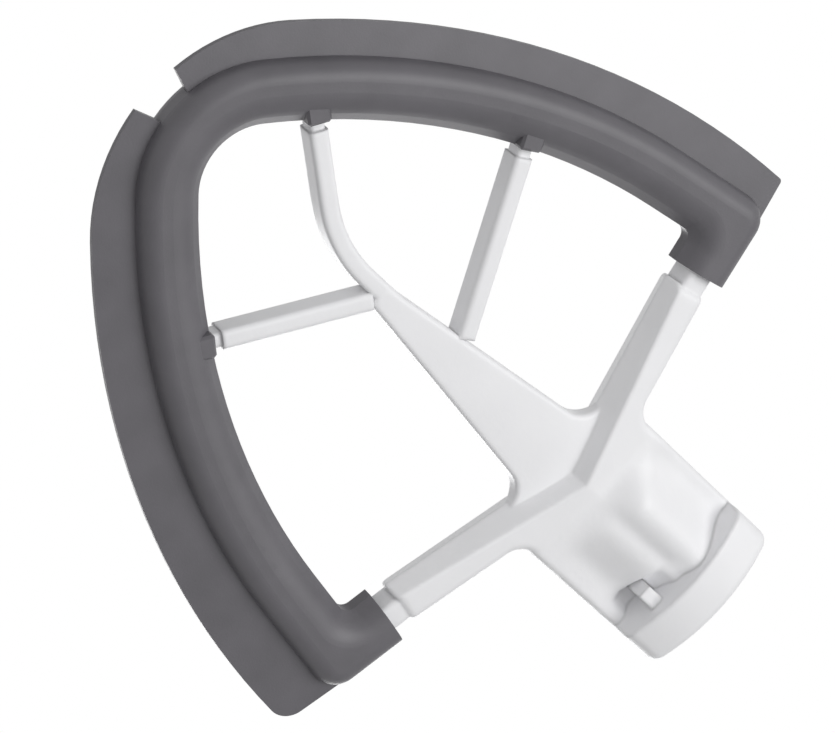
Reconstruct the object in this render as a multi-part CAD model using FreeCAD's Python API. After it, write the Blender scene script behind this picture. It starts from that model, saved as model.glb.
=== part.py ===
import FreeCAD, Part
import math
import os

# Flat beater for a stand mixer: a white-coated aluminium casting with a rubber scraping edge moulded onto it.
# Sizes are in millimetres. The origin is the centre of the bore mouth on the hub's end face.
# +Z runs up the bore towards the mixer, X runs across the beater, and the front face looks towards -Y.
# Plan points are (x, z) pairs, and "depth" is the distance from the middle plane.

Vector = FreeCAD.Vector
UP = Vector(0, 0, 1)
BACK = Vector(0, 1, 0)
ORIGIN = Vector(0, 0, 0)

# Drive bore and the groove for the shaft's cross pin
SHAFT_RADIUS = 6.35
BORE_CLEARANCE = 0.1
BORE_RADIUS = SHAFT_RADIUS + BORE_CLEARANCE
BORE_LENGTH = 30.0
PIN_GROOVE_WIDTH = 4.2
PIN_GROOVE_RADIUS = 7.9
PIN_GROOVE_LENGTH = 16.0
PIN_GROOVE_TURN = 45.0

# Hub
HUB_HALF_WIDTH = 16.6
COLLAR_HEIGHT = 10.2
COLLAR_SIDE_DEPTH = 9.0
COLLAR_FRONT_DEPTH = 13.0
COLLAR_CORNER_RADIUS = 3.0
COLLAR_END_ROUNDING = 2.4
COLLAR_LEDGE_ROUNDING = 0.6
HUB_WALL_AT_COLLAR = 3.0
HUB_WALL_AT_FOOT = 4.8
# Swellings of the hub over the bore and over the pin groove, as (x, half width, depth of the crest), and how
# far the crease between them is filled
BORE_SWELLING = (2.2, 10.8, 8.5)
GROOVE_SWELLING = (-3.9, 11.5, 10.3)
CREASE_FILL = 0.6
PIN_GROOVE_ANGLE = math.degrees(math.atan2(GROOVE_SWELLING[0], GROOVE_SWELLING[2]))
# Length over which the hub's shape fades into the arms, how far it runs into them, how far its sides and front
# stand out where it meets them, and how fast the front then sinks into them
HUB_FADE_LENGTH = 8.0
HUB_IN_ARMS = 3.9
HUB_STAND_OUT = 0.05
HUB_SINK_SLOPE = 0.15
HUB_EDGE_ROUNDING = 1.2
LUG_X = 7.6
LUG_SIDE = 3.0
LUG_LENGTH = 4.5
LUG_DEPTH = 9.0
# Hollow around the lug on the front, which leaves a wall around the bore
POCKET_HALF_WIDTH = 6.6
POCKET_LENGTH = 6.0
POCKET_FLOOR = 1.8
POCKET_SLOPE = 2.8
BORE_WALL = 1.0

# Line along the middle of the rubber sleeve: a large side arc, a tip arc and a straight end below each arm
RIM_HALF_WIDTH = 54.8
RIM_RADIUS = 140.5
RIM_CENTRE = (RIM_HALF_WIDTH - RIM_RADIUS, -45.7)
RIM_TIP_RADIUS = 18.1
RIM_STRAIGHT_FROM = math.radians(-10.0)

# Arms, whose depth falls evenly from the hub to their ends
ARM_SLOPE = math.radians(12.5)
ARM_END_INSET = 13.8
ARM_END = (RIM_HALF_WIDTH - ARM_END_INSET, -50.1)
ARM_END_DEPTH = 4.0
ARM_ROOT_DEPTH = 5.4
ARM_END_RISE = 3.4
ARM_END_DROP = 5.0
ARM_ROOT_RISE = 4.0
ARM_ROOT_DROP = 3.1
# How far the arms' lower sides lean in for each millimetre of depth
ARM_LEAN = 0.45
ARM_UPPER_ROUNDING = 1.8
ARM_LOWER_ROUNDING = 0.5
ARM_HUB_RADIUS = 4.5
ARM_CORNER_RADIUS = 1.6
# How far the necks, the rim and the web start inside the arms
ARM_OVERLAP = 1.0

# Centre web with a crowned front and back
WEB_TOP = (8.4, -48.5)
WEB_END = (2.2, -101.0)
WEB_END_RADIUS = 2.0
WEB_ARM_RADIUS = 6.0
WEB_TOP_CROWN = 2.4
WEB_END_CROWN = 3.0
WEB_CROWN_DROP = 0.4
WEB_EDGE_ROUNDING = 0.8

# Necks between the arms and the rubber
NECK_HALF_WIDTH = 2.7
NECK_DEPTH = 3.4
NECK_ROUNDING = 1.0
NECK_IN_RUBBER = 4.0

# Spokes and curved member
SPOKE_HALF_WIDTH = 1.85
SPOKE_DEPTH = 2.9
SPOKE_ROUNDING = 0.9
SPOKE_NECK_SCALE = 0.78
SPOKE_NECK_SHOWN = 1.9
SPOKE_IN_RUBBER = 5.5
RIGHT_SPOKE_START = (1.6, -100.7)
RIGHT_SPOKE_SLOPE = math.radians(-37.4)
LEFT_SPOKE_START = (-5.0, -80.0)
LEFT_SPOKE_SLOPE = math.radians(-151.2)
CURVE_TOP = (-0.9, -97.0)
CURVE_START = (-0.9, -105.0)
CURVE_RADIUS = 28.0
CURVE_TURN = math.radians(35.0)

# Rim of the casting, inside the rubber
CORE_HALF_WIDTH = 2.2
CORE_DEPTH = 2.4
CORE_CORNER_RADIUS = 1.0

# Rubber sleeve
SLEEVE_OUTER = 5.9
SLEEVE_INNER = 5.9
SLEEVE_FLAT_OUTER = 5.3
SLEEVE_FLAT_INNER = 2.4
SLEEVE_DEPTH = 5.2
SLEEVE_EDGE_DEPTH = 1.4
SLEEVE_OUTER_ROUNDING = 3.6
SLEEVE_INNER_ROUNDING = 6.0
SLEEVE_END = 3.3
SLEEVE_OUTER_CORNER = 5.4
SLEEVE_INNER_CORNER = 2.2

# Scraping fins
FIN_REACH_IN = 14.0
FIN_ROOT_DEPTH = 1.6
FIN_EDGE_DEPTH = 0.6
NOTCH_HALF_INNER = 3.6
NOTCH_HALF_OUTER = 5.1
# Angle at which a fin's side arc starts, a little past the cut at the hub side
FIN_TOP_ANGLE = 5.0
# Each fin's arcs against the rim line: shift of the side arc's centre, growth of the side and tip radii, and
# radius of the hub-side corner, all drawn on the right half
RIGHT_FIN = ((-2.0, 6.7), 19.9, 20.4, 4.5)
LEFT_FIN = ((-7.4, 5.0), 21.1, 16.3, 0.8)

# Square pads where the inner members enter the sleeve
PAD_HALF_WIDTH = 2.3
PAD_DEPTH = 4.2
PAD_OUT = 0.1
PAD_IN = 5.0
PAD_CHAMFER = 0.5

# Spacing of the points that the smooth front of the hub runs through
SURFACE_STEP = 1.2

# Largest gap between positions that count as the same, and smallest cosine between parallel directions
TOUCHING = 0.01
PARALLEL = 0.99


def at(point, depth=0.0):
    """Space point for a plan point, with the depth measured towards the front."""
    return Vector(point[0], -depth, point[1])


def along(point, direction, distance):
    """Plan point moved along a plan direction."""
    return (point[0] + direction[0] * distance, point[1] + direction[1] * distance)


def unit(start, end):
    """Plan direction from one plan point to another."""
    length = math.hypot(end[0] - start[0], end[1] - start[1])
    return ((end[0] - start[0]) / length, (end[1] - start[1]) / length)


def crossing(point_a, direction_a, point_b, direction_b):
    """Plan point where two plan lines cross."""
    determinant = direction_a[0] * direction_b[1] - direction_a[1] * direction_b[0]
    gap = (point_b[0] - point_a[0], point_b[1] - point_a[1])
    distance = (gap[0] * direction_b[1] - gap[1] * direction_b[0]) / determinant
    return along(point_a, direction_a, distance)


def arc_edge(centre, start, end, depth):
    """Short arc about a plan centre."""
    radius = math.hypot(start[0] - centre[0], start[1] - centre[1])
    chord_middle = ((start[0] + end[0]) / 2, (start[1] + end[1]) / 2)
    middle = along(centre, unit(centre, chord_middle), radius)
    return Part.Arc(at(start, depth), at(middle, depth), at(end, depth)).toShape()


def rounded_path(points, radii, depth):
    """Lines through plan points, with an arc at each inner point, or a sharp corner for a radius of zero."""
    edges = []
    start = points[0]
    for before, corner, after, radius in zip(points, points[1:], points[2:], radii):
        back = unit(corner, before)
        ahead = unit(corner, after)
        half_angle = math.acos(back[0] * ahead[0] + back[1] * ahead[1]) / 2
        reach = radius / math.tan(half_angle)
        arc_start = along(corner, back, reach)
        arc_end = along(corner, ahead, reach)
        edges.append(Part.makeLine(at(start, depth), at(arc_start, depth)))
        if radius > 0:
            bisector = unit((0, 0), (back[0] + ahead[0], back[1] + ahead[1]))
            centre = along(corner, bisector, radius / math.sin(half_angle))
            edges.append(arc_edge(centre, arc_start, arc_end, depth))
        start = arc_end
    edges.append(Part.makeLine(at(start, depth), at(points[-1], depth)))
    return edges


def mirrored(shape):
    """Copy of a shape on the other side of the YZ plane."""
    return shape.mirror(ORIGIN, Vector(1, 0, 0))


def both_faces(shape):
    """A shape joined to its copy on the other side of the middle plane."""
    return shape.fuse(shape.mirror(ORIGIN, BACK))


def slab(edges, depth):
    """Plate with the given plan outline, reaching the same depth on both sides of the middle plane."""
    face = Part.Face(Part.Wire(Part.sortEdges(edges)[0]))
    plate = face.extrude(Vector(0, 2 * depth, 0))
    plate.translate(Vector(0, -depth, 0))
    return plate


def edges_along(shape, axis):
    """Edges of a shape that run along an axis."""
    return [edge for edge in shape.Edges if abs(edge.tangentAt(edge.FirstParameter).dot(axis)) > PARALLEL]


def rounded_bar(start, end, half_width, depth, rounding):
    """Straight bar between two plan points, with a rounded rectangle as its section."""
    direction = unit(start, end)
    length = math.hypot(end[0] - start[0], end[1] - start[1])
    bar = Part.makeBox(2 * half_width, 2 * depth, length, Vector(-half_width, -depth, 0))
    if rounding > 0:
        bar = bar.makeFillet(rounding, edges_along(bar, UP))
    turn = FreeCAD.Rotation(UP, at(direction))
    bar.Placement = FreeCAD.Placement(at(start), turn)
    return bar


def tip_centre(side_centre, side_radius, tip_radius):
    """Centre on the middle line of the tip arc that meets a side arc smoothly."""
    drop = math.sqrt((side_radius - tip_radius) ** 2 - side_centre[0] ** 2)
    return (0.0, side_centre[1] - drop)


ARM_DIRECTION = (math.cos(ARM_SLOPE), -math.sin(ARM_SLOPE))
ARM_UP = (math.sin(ARM_SLOPE), math.cos(ARM_SLOPE))
RIM_TIP_CENTRE = tip_centre(RIM_CENTRE, RIM_RADIUS, RIM_TIP_RADIUS)


def rim_half(outer, inner, arm_end, corners, depth):
    """Edges of the right half of a band along the rim line.

    The band lies between an outer and an inner offset from the rim line, runs along the arm and ends at a
    distance past the arm's end. The four corner radii are those of the outer corner, the two end corners and
    the inner corner.
    """
    to_straight = (math.cos(RIM_STRAIGHT_FROM), math.sin(RIM_STRAIGHT_FROM))
    straight = (-to_straight[1], to_straight[0])
    to_tip = unit(RIM_CENTRE, RIM_TIP_CENTRE)
    edges = []
    ends = []
    for offset in (outer, -inner):
        low = along(RIM_TIP_CENTRE, (0, -1), RIM_TIP_RADIUS + offset)
        join = along(RIM_CENTRE, to_tip, RIM_RADIUS + offset)
        top = along(RIM_CENTRE, to_straight, RIM_RADIUS + offset)
        arm_point = along(ARM_END, ARM_UP, offset)
        corner = crossing(top, straight, arm_point, ARM_DIRECTION)
        end = along(arm_point, ARM_DIRECTION, arm_end)
        edges.append(arc_edge(RIM_TIP_CENTRE, low, join, depth))
        edges.append(arc_edge(RIM_CENTRE, join, top, depth))
        ends.append((low, top, corner, end))
    outline = [ends[0][1], ends[0][2], ends[0][3], ends[1][3], ends[1][2], ends[1][1]]
    edges += rounded_path(outline, corners, depth)
    edges.append(Part.makeLine(at(ends[0][0], depth), at(ends[1][0], depth)))
    return edges


def rim_wire(outer, inner, arm_end, corners, depth):
    """Closed outline of the right half of a band along the rim line."""
    return Part.Wire(Part.sortEdges(rim_half(outer, inner, arm_end, corners, depth))[0])


def sleeve_reach(start, direction):
    """Distance from a plan point, along a plan direction, to the inner edge of the sleeve's side arc."""
    side = math.copysign(1, direction[0])
    gap = (side * start[0] - RIM_CENTRE[0], start[1] - RIM_CENTRE[1])
    lean = gap[0] * side * direction[0] + gap[1] * direction[1]
    short = gap[0] ** 2 + gap[1] ** 2 - (RIM_RADIUS - SLEEVE_INNER) ** 2
    return math.sqrt(lean ** 2 - short) - lean


ARM_TAPER = (ARM_ROOT_DEPTH - ARM_END_DEPTH) / (ARM_END[0] - HUB_HALF_WIDTH)


def arm_depth(x):
    """Depth of the arms' sloping front face at a distance from the middle."""
    return ARM_END_DEPTH + ARM_TAPER * (ARM_END[0] - abs(x))


def arm_lines(lean):
    """Corner points of the right arm's upper and lower sides, with the lower side moved in by a distance."""
    root = crossing(ARM_END, ARM_DIRECTION, (HUB_HALF_WIDTH, 0), (0, 1))
    upper_end = along(ARM_END, ARM_UP, ARM_END_RISE)
    lower_end = along(ARM_END, ARM_UP, lean - ARM_END_DROP)
    upper_root = along(root, ARM_UP, ARM_ROOT_RISE)
    lower_root = along(root, ARM_UP, lean - ARM_ROOT_DROP)
    return root, upper_root, upper_end, lower_end, lower_root


def hub_corner():
    """Plan point where the right arm's upper side would meet the hub's side."""
    root, upper_root, upper_end, lower_end, lower_root = arm_lines(0)
    return crossing(upper_end, unit(upper_end, upper_root), (HUB_HALF_WIDTH, 0), (0, 1))


# The foot of the hub ends in the arms, above the arcs that join their upper sides to it
HUB_FOOT = hub_corner()[1] + ARM_HUB_RADIUS
HUB_END = HUB_FOOT - HUB_IN_ARMS
HUB_FADE_FROM = HUB_FOOT + HUB_FADE_LENGTH


# Right half of the arms' outline, with the foot of the hub between them
def arms_outline(depth):
    root, upper_root, upper_end, lower_end, lower_root = arm_lines(ARM_LEAN * depth)
    lower_middle = crossing(lower_end, unit(lower_end, lower_root), (0, 0), (0, 1))
    points = [(0, HUB_FOOT), (HUB_HALF_WIDTH, HUB_FOOT), hub_corner(), upper_end, lower_end, lower_middle]
    edges = rounded_path(points, [0, ARM_HUB_RADIUS, ARM_CORNER_RADIUS, 0], depth)
    edges.append(Part.makeLine(at(points[-1], depth), at(points[0], depth)))
    return Part.Wire(Part.sortEdges(edges)[0])


def arm_edges(bar, side):
    """Front and back edges of the arms on their upper (1) or lower (-1) side, below the hub's foot."""
    edges = []
    for face in bar.Faces:
        if abs(face.normalAt(0, 0).y) > PARALLEL:
            for edge in face.Edges:
                middle = edge.CenterOfMass
                height = (abs(middle.x) - ARM_END[0]) * ARM_UP[0] + (middle.z - ARM_END[1]) * ARM_UP[1]
                on_arm = middle.z < HUB_FOOT - TOUCHING and abs(middle.x) > TOUCHING
                if on_arm and side * height > ARM_OVERLAP:
                    edges.append(edge)
    return edges


# Arms: leaning lower sides, sloping front and back faces and rounded edges
def arms():
    deep = 2 * ARM_ROOT_DEPTH
    block = Part.makeLoft([arms_outline(0), arms_outline(deep)], True, True)
    far = 2 * ARM_END[0]
    side = [Vector(0, 0, 0), Vector(0, -arm_depth(0), 0), Vector(far, -arm_depth(far), 0), Vector(far, 0, 0)]
    wedge = Part.Face(Part.makePolygon(side + side[:1])).extrude(Vector(0, 0, 2 * WEB_END[1]))
    quarter = block.common(wedge)
    half = both_faces(quarter)
    bar = half.fuse(mirrored(half)).removeSplitter()
    bar = bar.makeFillet(ARM_UPPER_ROUNDING, arm_edges(bar, 1))
    return bar.makeFillet(ARM_LOWER_ROUNDING, arm_edges(bar, -1))


# Crowned section across the web and its rounded corners with the arms
def web_section(z, crown):
    width = WEB_TOP[0] + WEB_ARM_RADIUS
    edge_depth = crown - WEB_CROWN_DROP * (width / WEB_TOP[0]) ** 2
    edges = []
    for sign in (-1, 1):
        start = Vector(-width, sign * edge_depth, z)
        end = Vector(width, sign * edge_depth, z)
        edges.append(Part.Arc(start, Vector(0, sign * crown, z), end).toShape())
    for x in (-width, width):
        edges.append(Part.makeLine(Vector(x, -edge_depth, z), Vector(x, edge_depth, z)))
    return Part.Wire(Part.sortEdges(edges)[0])


# Web: tapered in plan, rounded into the arms' lower sides, with a crowned front and back
def web():
    root, upper_root, upper_end, lower_end, lower_root = arm_lines(ARM_LEAN * WEB_TOP_CROWN)
    side = unit(WEB_END, WEB_TOP)
    corner = crossing(lower_end, unit(lower_end, lower_root), WEB_TOP, side)
    points = [(0, HUB_FOOT - ARM_OVERLAP), root, lower_root, corner, WEB_END, (0, WEB_END[1])]
    edges = rounded_path(points, [0, 0, WEB_ARM_RADIUS, WEB_END_RADIUS], 0.0)
    edges.append(Part.makeLine(at(points[-1]), at(points[0])))
    half = slab(edges, COLLAR_FRONT_DEPTH)
    plate = half.fuse(mirrored(half)).removeSplitter()
    sections = [web_section(HUB_FOOT, WEB_TOP_CROWN), web_section(WEB_END[1] - ARM_OVERLAP, WEB_END_CROWN)]
    plate = plate.common(Part.makeLoft(sections, True, True))
    rim_edges = []
    for face in plate.Faces:
        if abs(face.CenterOfMass.y) > WEB_EDGE_ROUNDING:
            rim_edges += [edge for edge in face.Edges if edge.CenterOfMass.z < lower_root[1]]
    return plate.makeFillet(WEB_EDGE_ROUNDING, rim_edges)


def smooth_step(share):
    """Smooth rise from 0 to 1 as the share goes from 0 to 1."""
    share = min(max(share, 0), 1)
    return share * share * (3 - 2 * share)


def block_behind(depth_at, top, bottom):
    """Block wider than the hub, between two heights, behind a smooth front whose depth a function gives."""
    across = math.ceil(HUB_HALF_WIDTH / SURFACE_STEP) + 1
    down = math.ceil((top - bottom) / SURFACE_STEP) + 1
    columns = [k * SURFACE_STEP for k in range(-across, across + 1)]
    rows = [bottom + k * SURFACE_STEP for k in range(down)]
    surface = Part.BSplineSurface()
    surface.interpolate([[depth_at(x, z) for z in rows] for x in columns],
                        columns[0], SURFACE_STEP, rows[0], SURFACE_STEP)
    face = surface.toShape()
    face.rotate(ORIGIN, Vector(1, 0, 0), 90)
    return face.extrude(Vector(0, 2 * COLLAR_FRONT_DEPTH, 0))


def swelling(x, z, middle, half_width, crest):
    """Depth of one swelling of the hub above the low walls beside it."""
    wall = HUB_WALL_AT_COLLAR + (HUB_WALL_AT_FOOT - HUB_WALL_AT_COLLAR) * z / HUB_FOOT
    share = min(abs(x - middle) / half_width, 1)
    return wall + (crest - wall) * (1 + math.cos(math.pi * share)) / 2


def hub_depth(x, z):
    """Depth of the hub's back: two swellings that fade smoothly into the arms at the foot."""
    over_bore = swelling(x, z, *BORE_SWELLING)
    over_groove = swelling(x, z, *GROOVE_SWELLING)
    depth = (over_bore + over_groove + math.hypot(over_bore - over_groove, CREASE_FILL)) / 2
    fade = smooth_step((HUB_FADE_FROM - z) / HUB_FADE_LENGTH)
    sunk = arm_depth(x) + HUB_STAND_OUT + HUB_SINK_SLOPE * (z - HUB_FOOT)
    return (1 - fade) * depth + fade * sunk


def pocket_depth(x, z):
    """Depth of the hub's front: as the back, with a hollow under the collar around the lug."""
    across = smooth_step((POCKET_HALF_WIDTH - abs(x - LUG_X)) / POCKET_SLOPE)
    upward = smooth_step((z + COLLAR_HEIGHT + POCKET_LENGTH) / POCKET_SLOPE)
    wall = math.sqrt(max((BORE_RADIUS + BORE_WALL) ** 2 - x ** 2, 0))
    depth = hub_depth(x, z)
    return depth + (max(POCKET_FLOOR, wall) - depth) * across * upward


# Hub's body: a smooth front and back and flat sides with rounded edges
def hub_body():
    half_width = HUB_HALF_WIDTH + HUB_STAND_OUT
    top = -COLLAR_HEIGHT / 2
    front = block_behind(pocket_depth, top, HUB_END)
    back = block_behind(hub_depth, top, HUB_END).mirror(ORIGIN, BACK)
    sides = Part.makeBox(2 * half_width, 2 * COLLAR_FRONT_DEPTH, top - HUB_END,
                         Vector(-half_width, -COLLAR_FRONT_DEPTH, HUB_END))
    body = front.common(back).common(sides)
    long_edges = [edge for edge in body.Edges if edge.BoundBox.ZLength > COLLAR_HEIGHT]
    return body.makeFillet(HUB_EDGE_ROUNDING, long_edges)


# Collar: a flat-sided block with bulging front and back
def collar_block():
    left = (-HUB_HALF_WIDTH, COLLAR_SIDE_DEPTH)
    right = (HUB_HALF_WIDTH, COLLAR_SIDE_DEPTH)
    edges = []
    for sign in (-1, 1):
        start = Vector(left[0], sign * left[1], 0)
        middle = Vector(0, sign * COLLAR_FRONT_DEPTH, 0)
        end = Vector(right[0], sign * right[1], 0)
        edges.append(Part.Arc(start, middle, end).toShape())
    for side in (left, right):
        edges.append(Part.makeLine(Vector(side[0], -side[1], 0), Vector(side[0], side[1], 0)))
    face = Part.Face(Part.Wire(Part.sortEdges(edges)[0]))
    block = face.extrude(Vector(0, 0, -COLLAR_HEIGHT))
    block = block.makeFillet(COLLAR_CORNER_RADIUS, edges_along(block, UP))
    end_edges = [edge for edge in block.Edges if edge.BoundBox.ZMin > -TOUCHING]
    block = block.makeFillet(COLLAR_END_ROUNDING, end_edges)
    ledge_edges = [edge for edge in block.Edges if edge.BoundBox.ZMax < TOUCHING - COLLAR_HEIGHT]
    return block.makeFillet(COLLAR_LEDGE_ROUNDING, ledge_edges)


# Hub: body, lug and collar
def hub():
    lug = Part.makeBox(LUG_SIDE, LUG_DEPTH, LUG_LENGTH + COLLAR_HEIGHT / 2,
                       Vector(LUG_X - LUG_SIDE / 2, -LUG_DEPTH, -COLLAR_HEIGHT - LUG_LENGTH))
    return hub_body().fuse([lug, collar_block()])


# Bore with the bent groove that the shaft's pin turns into
def bore_space():
    bore = Part.makeCylinder(BORE_RADIUS, BORE_LENGTH, Vector(0, 0, -BORE_LENGTH))
    entry = Part.makeBox(PIN_GROOVE_WIDTH, PIN_GROOVE_RADIUS, PIN_GROOVE_LENGTH,
                         Vector(-PIN_GROOVE_WIDTH / 2, -PIN_GROOVE_RADIUS, -PIN_GROOVE_LENGTH))
    groove_foot = Vector(0, 0, -PIN_GROOVE_LENGTH)
    turn = Part.makeCylinder(PIN_GROOVE_RADIUS, PIN_GROOVE_WIDTH, groove_foot, UP, PIN_GROOVE_TURN)
    entry.rotate(ORIGIN, UP, PIN_GROOVE_ANGLE)
    turn.rotate(ORIGIN, UP, PIN_GROOVE_ANGLE - PIN_GROOVE_TURN - 90)
    return bore.fuse([entry, turn])


# Inner member: a bar with a thinner neck that runs through its pad into the rim
def member(start, direction):
    reach = sleeve_reach(start, direction)
    end = along(start, direction, reach - SPOKE_NECK_SHOWN)
    bar = rounded_bar(start, end, SPOKE_HALF_WIDTH, SPOKE_DEPTH, SPOKE_ROUNDING)
    neck_end = along(start, direction, reach + SPOKE_IN_RUBBER)
    neck = rounded_bar(end, neck_end, SPOKE_NECK_SCALE * SPOKE_HALF_WIDTH,
                       SPOKE_NECK_SCALE * SPOKE_DEPTH, SPOKE_NECK_SCALE * SPOKE_ROUNDING)
    return [bar, neck]


# Curved member: a stem below the web and a bend, which a straight inner member carries on
curve_centre = (CURVE_START[0] - CURVE_RADIUS, CURVE_START[1])
stem = rounded_bar(CURVE_TOP, CURVE_START, SPOKE_HALF_WIDTH, SPOKE_DEPTH, SPOKE_ROUNDING)
stem_foot = min(stem.Faces, key=lambda face: face.CenterOfMass.z)
bend = stem_foot.revolve(at(curve_centre), BACK, math.degrees(CURVE_TURN))
bend_end = along(curve_centre, (math.cos(CURVE_TURN), -math.sin(CURVE_TURN)), CURVE_RADIUS)
members = [(RIGHT_SPOKE_START, (math.cos(RIGHT_SPOKE_SLOPE), math.sin(RIGHT_SPOKE_SLOPE))),
           (LEFT_SPOKE_START, (math.cos(LEFT_SPOKE_SLOPE), math.sin(LEFT_SPOKE_SLOPE))),
           (bend_end, (-math.sin(CURVE_TURN), -math.cos(CURVE_TURN)))]

# Rim inside the rubber and the two arm necks
core_corners = [CORE_CORNER_RADIUS] * 4
core_half = slab(rim_half(CORE_HALF_WIDTH, CORE_HALF_WIDTH, -ARM_OVERLAP, core_corners, 0.0), CORE_DEPTH)
neck_start = along(ARM_END, ARM_DIRECTION, -ARM_OVERLAP)
neck_end = along(ARM_END, ARM_DIRECTION, SLEEVE_END + NECK_IN_RUBBER)
neck = rounded_bar(neck_start, neck_end, NECK_HALF_WIDTH, NECK_DEPTH, NECK_ROUNDING)
pieces = [hub(), web(), stem, bend, core_half, mirrored(core_half), neck, mirrored(neck)]
for start, direction in members:
    pieces += member(start, direction)
cast_frame = arms().fuse(pieces).cut(bore_space()).removeSplitter()


# Sleeve: a band with a steep outer side, a sloping inner side and front and back edges rounded all along
def sleeve():
    wide_corners = [SLEEVE_OUTER_CORNER, 0, 0, SLEEVE_INNER_CORNER]
    flat_corners = [SLEEVE_OUTER_CORNER - SLEEVE_OUTER + SLEEVE_FLAT_OUTER, 0, 0,
                    SLEEVE_INNER_CORNER + SLEEVE_INNER - SLEEVE_FLAT_INNER]
    edge_band = rim_half(SLEEVE_OUTER, SLEEVE_INNER, SLEEVE_END, wide_corners, 0.0)
    wide = rim_wire(SLEEVE_OUTER, SLEEVE_INNER, SLEEVE_END, wide_corners, SLEEVE_EDGE_DEPTH)
    flat = rim_wire(SLEEVE_FLAT_OUTER, SLEEVE_FLAT_INNER, SLEEVE_END, flat_corners, SLEEVE_DEPTH)
    bevel = Part.makeLoft([wide, flat], True, True)
    half = slab(edge_band, SLEEVE_EDGE_DEPTH).fuse(both_faces(bevel))
    band = half.fuse(mirrored(half)).removeSplitter()
    for outer, rounding in ((True, SLEEVE_OUTER_ROUNDING), (False, SLEEVE_INNER_ROUNDING)):
        side_arcs = []
        for edge in band.Edges:
            at_face = abs(abs(edge.CenterOfMass.y) - SLEEVE_DEPTH) < TOUCHING
            if at_face and edge.Curve.TypeId == "Part::GeomCircle" and edge.Curve.Radius > RIM_RADIUS / 2:
                if (edge.Curve.Radius > RIM_RADIUS) == outer:
                    side_arcs.append(edge)
        band = band.makeFillet(rounding, side_arcs)
    return band


# Fin on the right half: a plate that thins towards its edge, cut off at the hub side and at the tip notch
def fin(centre_shift, side_growth, tip_growth, corner_radius):
    side_centre = (RIM_CENTRE[0] + centre_shift[0], RIM_CENTRE[1] + centre_shift[1])
    side_radius = RIM_RADIUS + side_growth
    tip_radius = RIM_TIP_RADIUS + tip_growth
    tip = tip_centre(side_centre, side_radius, tip_radius)
    to_tip = unit(side_centre, tip)
    tip_angle = math.degrees(math.atan2(to_tip[1], to_tip[0]))
    pieces = []
    for centre, radius, start_angle, end_angle in ((side_centre, side_radius, tip_angle, FIN_TOP_ANGLE),
                                                   (tip, tip_radius, -90.0, tip_angle)):
        inner = radius - FIN_REACH_IN
        section = [Vector(inner, -FIN_ROOT_DEPTH, 0), Vector(radius, -FIN_EDGE_DEPTH, 0),
                   Vector(radius, FIN_EDGE_DEPTH, 0), Vector(inner, FIN_ROOT_DEPTH, 0)]
        face = Part.Face(Part.makePolygon(section + section[:1]))
        face.rotate(ORIGIN, BACK, -start_angle)
        face.translate(at(centre))
        pieces.append(face.revolve(at(centre), BACK, start_angle - end_angle))
    plate = pieces[0].fuse(pieces[1])
    hub_line = along(ARM_END, ARM_UP, SLEEVE_OUTER)
    fin_low = tip[1] - tip_radius
    rim_low = RIM_TIP_CENTRE[1] - RIM_TIP_RADIUS - SLEEVE_OUTER
    notch_point = (NOTCH_HALF_INNER, rim_low)
    notch = unit(notch_point, (NOTCH_HALF_OUTER, fin_low))
    far = 2 * side_radius
    keep = [crossing(notch_point, notch, hub_line, (1, 0)), hub_line, along(hub_line, ARM_DIRECTION, far),
            (far, 2 * fin_low), along(notch_point, notch, far)]
    keep_edges = [Part.makeLine(at(a), at(b)) for a, b in zip(keep, keep[1:] + keep[:1])]
    plate = plate.common(slab(keep_edges, 2 * FIN_ROOT_DEPTH))
    corner = max(edges_along(plate, BACK), key=lambda edge: edge.CenterOfMass.x)
    return plate.makeFillet(corner_radius, [corner])


# Pad around the neck of an inner member
def pad(start, direction):
    reach = sleeve_reach(start, direction)
    block = rounded_bar(along(start, direction, reach - PAD_OUT), along(start, direction, reach + PAD_IN),
                        PAD_HALF_WIDTH, PAD_DEPTH, 0)
    return block.makeChamfer(PAD_CHAMFER, block.Edges)


band = sleeve()
fins = [fin(*RIGHT_FIN), mirrored(fin(*LEFT_FIN))]
pads = [pad(start, direction) for start, direction in members]
rubber_edge = band.fuse(fins + pads).removeSplitter()
rubber_edge = rubber_edge.cut(cast_frame)

os.makedirs("parts", exist_ok=True)
cast_frame.exportStep("parts/cast_frame.step")
rubber_edge.exportStep("parts/rubber_edge.step")
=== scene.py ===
import math

import bpy
from mathutils import Matrix, Vector

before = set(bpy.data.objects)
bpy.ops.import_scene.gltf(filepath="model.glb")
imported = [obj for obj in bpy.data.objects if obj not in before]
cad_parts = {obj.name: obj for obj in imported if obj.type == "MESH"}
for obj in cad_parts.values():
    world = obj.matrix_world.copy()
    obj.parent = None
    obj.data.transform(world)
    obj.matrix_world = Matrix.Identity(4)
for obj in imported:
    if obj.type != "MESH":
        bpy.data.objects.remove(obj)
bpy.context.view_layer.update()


# Cast frame
# One aluminium casting: hub with its bore, tapered web, arms, spokes and the rim inside the rubber.
# It is coated white after casting, so the skin is satin with a faint orange peel and softly filled corners.
def new_material(name):
    """Empty material with its nodes, links and shader."""
    material = bpy.data.materials.new(name)
    material.use_nodes = True
    nodes = material.node_tree.nodes
    return material, nodes, material.node_tree.links, nodes["Principled BSDF"]


def noise(nodes, links, scale, detail):
    """Noise texture on object coordinates, with its scale in waves per metre."""
    coordinates = nodes.new("ShaderNodeTexCoord")
    texture = nodes.new("ShaderNodeTexNoise")
    texture.inputs["Scale"].default_value = scale
    texture.inputs["Detail"].default_value = detail
    links.new(coordinates.outputs["Object"], texture.inputs["Vector"])
    return texture.outputs["Fac"]


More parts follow.
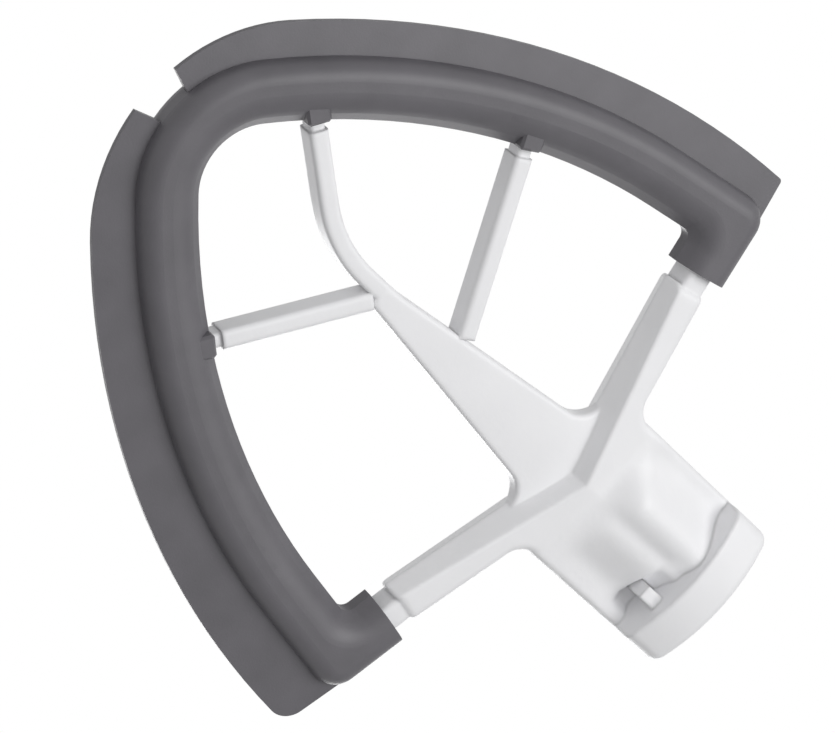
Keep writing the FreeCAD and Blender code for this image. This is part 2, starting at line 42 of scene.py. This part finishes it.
def ramp(nodes, links, factor, low, high):
    """Colour ramp between two colours over the middle of a noise."""
    noise_low = 0.3
    noise_high = 0.7
    colours = nodes.new("ShaderNodeValToRGB")
    first, last = colours.color_ramp.elements
    first.position = noise_low
    first.color = low
    last.position = noise_high
    last.color = high
    links.new(factor, colours.inputs["Fac"])
    return colours.outputs["Color"]


def bump(nodes, links, shader, height, strength, distance):
    """Bump from a height field, with its distance in metres."""
    relief = nodes.new("ShaderNodeBump")
    relief.inputs["Strength"].default_value = strength
    relief.inputs["Distance"].default_value = distance
    links.new(height, relief.inputs["Height"])
    links.new(relief.outputs["Normal"], shader.inputs["Normal"])
    return relief


def filled_edges(nodes, links, relief, radius):
    """Shade the edges under a bump as if rounded over a radius in metres."""
    rounding = nodes.new("ShaderNodeBevel")
    rounding.samples = 8
    rounding.inputs["Radius"].default_value = radius
    links.new(rounding.outputs["Normal"], relief.inputs["Normal"])


def white_coating():
    """Satin white coating: faint changes of tone, a fine orange peel and edges softened by its thickness."""
    material, nodes, links, shader = new_material("white_coating")
    darker = (0.865, 0.865, 0.88, 1)
    lighter = (0.895, 0.895, 0.91, 1)
    tone = ramp(nodes, links, noise(nodes, links, scale=60, detail=3), darker, lighter)
    links.new(tone, shader.inputs["Base Color"])
    shader.inputs["Roughness"].default_value = 0.42
    shader.inputs["Specular IOR Level"].default_value = 0.4
    orange_peel = noise(nodes, links, scale=900, detail=2)
    relief = bump(nodes, links, shader, orange_peel, strength=0.12, distance=0.0002)
    filled_edges(nodes, links, relief, radius=0.0012)
    return material


cast_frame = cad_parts["cast_frame"]
cast_frame.data.materials.clear()
cast_frame.data.materials.append(white_coating())


# Rubber edge
# A dark grey soft rubber moulded in one go round the rim of the casting, with a thin scraping fin on each
# side. Its skin is dull, with the fine grain that the mould leaves.
def grey_rubber():
    """Dull grey rubber: a mottled tone with a violet tint and the mould's fine grain."""
    material, nodes, links, shader = new_material("grey_rubber")
    darker = (0.100, 0.096, 0.106, 1)
    lighter = (0.118, 0.113, 0.125, 1)
    tone = ramp(nodes, links, noise(nodes, links, scale=120, detail=5), darker, lighter)
    links.new(tone, shader.inputs["Base Color"])
    shader.inputs["Roughness"].default_value = 0.48
    shader.inputs["Specular IOR Level"].default_value = 0.5
    grain = noise(nodes, links, scale=2400, detail=3)
    bump(nodes, links, shader, grain, strength=0.2, distance=0.0001)
    return material


rubber_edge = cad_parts["rubber_edge"]
rubber_edge.data.materials.clear()
rubber_edge.data.materials.append(grey_rubber())


# Camera
# It looks up at the front of the beater from below its tip, rolled so that the hub is at the lower right.
# The focal length and the width of the image are in pixels, the sensor in millimetres.
IMAGE_WIDTH = 835
FOCAL_PIXELS = 3759
SENSOR_WIDTH = 36
CAMERA_TARGET = Vector((0.00488, 0, -0.08248))
CAMERA_DISTANCE = 0.7
CAMERA_AZIMUTH = math.radians(0.15)
CAMERA_ELEVATION = math.radians(-32.64)
CAMERA_ROLL = math.radians(132.33)

flat = math.cos(CAMERA_ELEVATION)
back = Vector((math.sin(CAMERA_AZIMUTH) * flat,
               -math.cos(CAMERA_AZIMUTH) * flat,
               math.sin(CAMERA_ELEVATION)))
level_right = Vector((math.cos(CAMERA_AZIMUTH), math.sin(CAMERA_AZIMUTH), 0))
level_up = back.cross(level_right)
right = math.cos(CAMERA_ROLL) * level_right + math.sin(CAMERA_ROLL) * level_up
up = math.cos(CAMERA_ROLL) * level_up - math.sin(CAMERA_ROLL) * level_right
camera = bpy.data.objects.new("camera", bpy.data.cameras.new("camera"))
bpy.context.scene.collection.objects.link(camera)
camera.data.sensor_width = SENSOR_WIDTH
camera.data.lens = FOCAL_PIXELS * SENSOR_WIDTH / IMAGE_WIDTH
camera.data.clip_start = 0.01
camera.data.clip_end = 100
turned = Matrix((right, up, back)).transposed().to_4x4()
camera.matrix_world = Matrix.Translation(CAMERA_TARGET + CAMERA_DISTANCE * back) @ turned
bpy.context.scene.camera = camera


# Studio
# A pale floor well below the hanging beater, a soft key lamp to the camera's right, a weaker one above its
# left, one behind the beater, and a white surround that the camera and reflections see.
FLOOR_DROP = 0.65
FLOOR_HALF_WIDTH = 6.0
FLOOR_GLOW = 0.3
AMBIENT = 0.24


def lamp(name, place, size, power):
    """Square soft lamp at a place given along the camera's right, up and back, aimed at the beater."""
    light = bpy.data.lights.new(name, "AREA")
    light.size = size
    light.energy = power
    holder = bpy.data.objects.new(name, light)
    bpy.context.scene.collection.objects.link(holder)
    holder.visible_camera = False
    offset = place[0] * right + place[1] * up + place[2] * back
    turn = (-offset).to_track_quat("-Z", "Y").to_matrix().to_4x4()
    holder.matrix_world = Matrix.Translation(CAMERA_TARGET + offset) @ turn


def background_rays(nodes, links):
    """1 for the rays that show the background: those from the camera, and from reflection or transmission."""
    rays = nodes.new("ShaderNodeLightPath")
    seen = rays.outputs["Is Camera Ray"]
    for kind in ("Is Glossy Ray", "Is Transmission Ray"):
        either = nodes.new("ShaderNodeMath")
        either.operation = "MAXIMUM"
        links.new(seen, either.inputs[0])
        links.new(rays.outputs[kind], either.inputs[1])
        seen = either.outputs["Value"]
    return seen


lamp("key_lamp", place=(1.1, -0.1, 0.75), size=0.9, power=12)
lamp("fill_lamp", place=(-0.7, 0.9, 0.6), size=1.0, power=5.5)
lamp("back_lamp", place=(-0.3, -0.6, -1.1), size=1.0, power=10)

floor_mesh = bpy.data.meshes.new("floor")
floor_corners = [(-FLOOR_HALF_WIDTH, -FLOOR_HALF_WIDTH, -FLOOR_DROP),
                 (FLOOR_HALF_WIDTH, -FLOOR_HALF_WIDTH, -FLOOR_DROP),
                 (FLOOR_HALF_WIDTH, FLOOR_HALF_WIDTH, -FLOOR_DROP),
                 (-FLOOR_HALF_WIDTH, FLOOR_HALF_WIDTH, -FLOOR_DROP)]
floor_mesh.from_pydata(floor_corners, [], [(0, 1, 2, 3)])
floor = bpy.data.objects.new("floor", floor_mesh)
bpy.context.scene.collection.objects.link(floor)
floor_paint, floor_nodes, floor_links, floor_shader = new_material("floor_paint")
floor_shader.inputs["Base Color"].default_value = (0.85, 0.85, 0.85, 1)
floor_shader.inputs["Roughness"].default_value = 0.9
floor_shader.inputs["Emission Color"].default_value = (1, 1, 1, 1)
glow = floor_nodes.new("ShaderNodeMath")
glow.operation = "MULTIPLY"
glow.inputs[1].default_value = FLOOR_GLOW
floor_links.new(background_rays(floor_nodes, floor_links), glow.inputs[0])
floor_links.new(glow.outputs["Value"], floor_shader.inputs["Emission Strength"])
floor_mesh.materials.append(floor_paint)

world = bpy.data.worlds.new("studio")
bpy.context.scene.world = world
world.use_nodes = True
world_nodes = world.node_tree.nodes
world_links = world.node_tree.links
surround = world_nodes["Background"]
surround.inputs["Color"].default_value = (1, 1, 1, 1)
strength = world_nodes.new("ShaderNodeMapRange")
strength.inputs["To Min"].default_value = AMBIENT
strength.inputs["To Max"].default_value = 1
world_links.new(background_rays(world_nodes, world_links), strength.inputs["Value"])
world_links.new(strength.outputs["Result"], surround.inputs["Strength"])
bpy.context.scene.view_settings.view_transform = "Standard"
